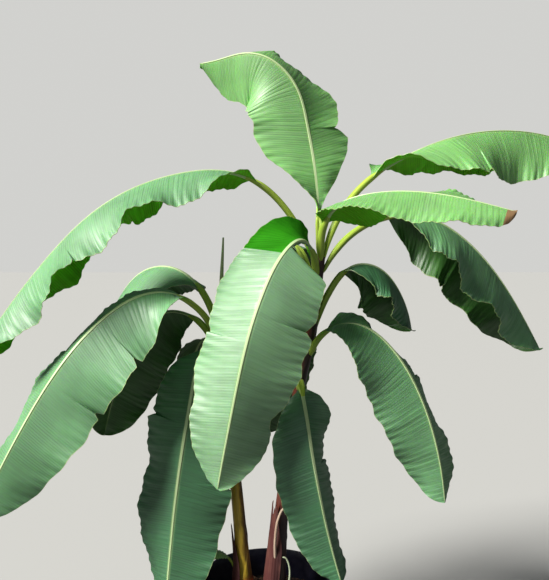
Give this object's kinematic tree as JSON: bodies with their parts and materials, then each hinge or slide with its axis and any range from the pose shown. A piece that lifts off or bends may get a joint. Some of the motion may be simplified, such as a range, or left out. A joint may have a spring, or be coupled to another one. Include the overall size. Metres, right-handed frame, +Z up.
{
  "type": "banana plant",
  "caption": "Young banana plant in a tapered nursery pot: slim leaning stems and long arching paddle-shaped leaves.",
  "frame": {"origin": "middle of the pot's flat underside, where it stands on the floor", "axes": "+Z up, -Y towards whoever looks at the plant's front, +X to their right"},
  "size_m": [1.9858, 1.0084, 2.1052],
  "materials": {
    "leaf": "satin, paler where the light falls on the top",
    "spear": "satin",
    "stem_main": "dull, red-brown and dark purple",
    "stem_left": "satin, yellow-olive",
    "dead_sheath": "dull and papery",
    "pot": "black, slightly satin",
    "soil": "rough, with bits of bark"
  },
  "bodies": {
    "root": {"pot": "pot", "soil": "soil", "stem_main": "stem_main", "stem_left": "stem_left", "spear": "spear", "leaf_back_high_inner": "leaf", "leaf_back_high_outer": "leaf", "leaf_back_left": "leaf", "leaf_back_low": "leaf", "leaf_front": "leaf", "leaf_front_left": "leaf", "leaf_front_low": "leaf", "leaf_left_back_inner": "leaf", "leaf_left_back_outer": "leaf", "leaf_left_dark": "leaf", "leaf_left_long_inner": "leaf", "leaf_left_long_outer": "leaf", "leaf_left_mid_inner": "leaf", "leaf_left_mid_outer": "leaf", "leaf_right_arch_inner": "leaf", "leaf_right_arch_outer": "leaf", "leaf_right_far": "leaf", "leaf_right_low": "leaf", "leaf_right_near": "leaf", "leaf_right_small": "leaf", "leaf_top": "leaf", "sucker_leaf": "leaf", "dry_sheath_left": "dead_sheath", "dry_sheath_main": "dead_sheath", "dry_stalk": "dead_sheath"}
  },
  "joints": []
}
